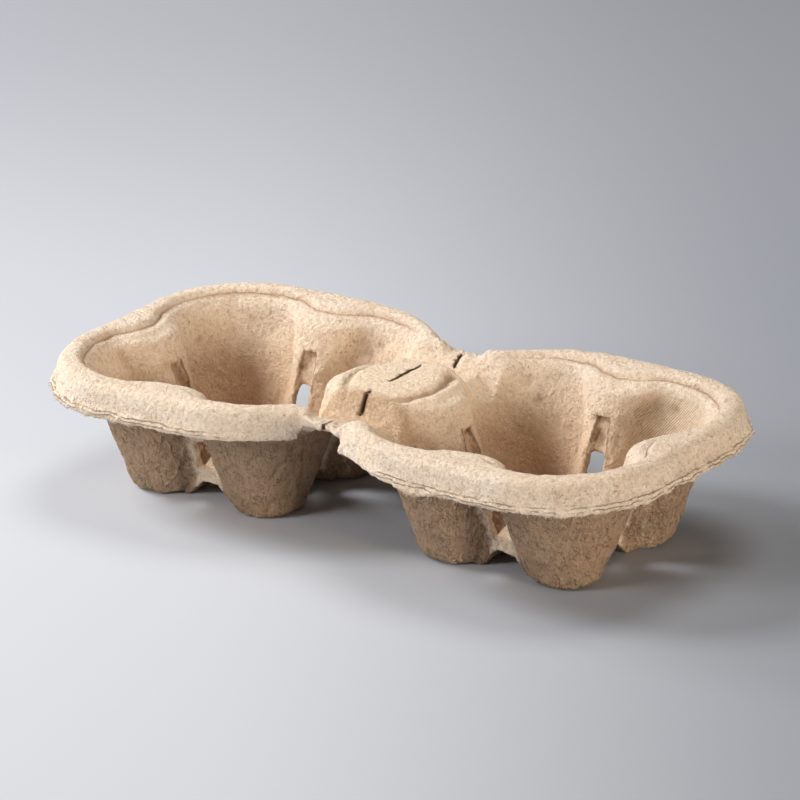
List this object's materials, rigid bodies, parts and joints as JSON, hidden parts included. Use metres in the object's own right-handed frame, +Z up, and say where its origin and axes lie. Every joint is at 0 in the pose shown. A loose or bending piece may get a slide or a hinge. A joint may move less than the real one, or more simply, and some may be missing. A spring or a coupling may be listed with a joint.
{
  "type": "cup carrier",
  "caption": "Moulded pulp cup carrier with lobed, slotted wells on hollow feet, a rolled rim with a torn edge, and a bridge with tear slits between the wells.",
  "frame": {"origin": "on the table under the feet, midway between the cup wells", "axes": "+X along the row of cup wells, +Y across to the back, +Z up out of the wells"},
  "size_m": [0.213, 0.109, 0.0424],
  "materials": {
    "pulp": "rough natural moulded pulp, matt, with fibres and mesh marks"
  },
  "bodies": {
    "root": {"cup_carrier": "pulp"}
  },
  "joints": []
}
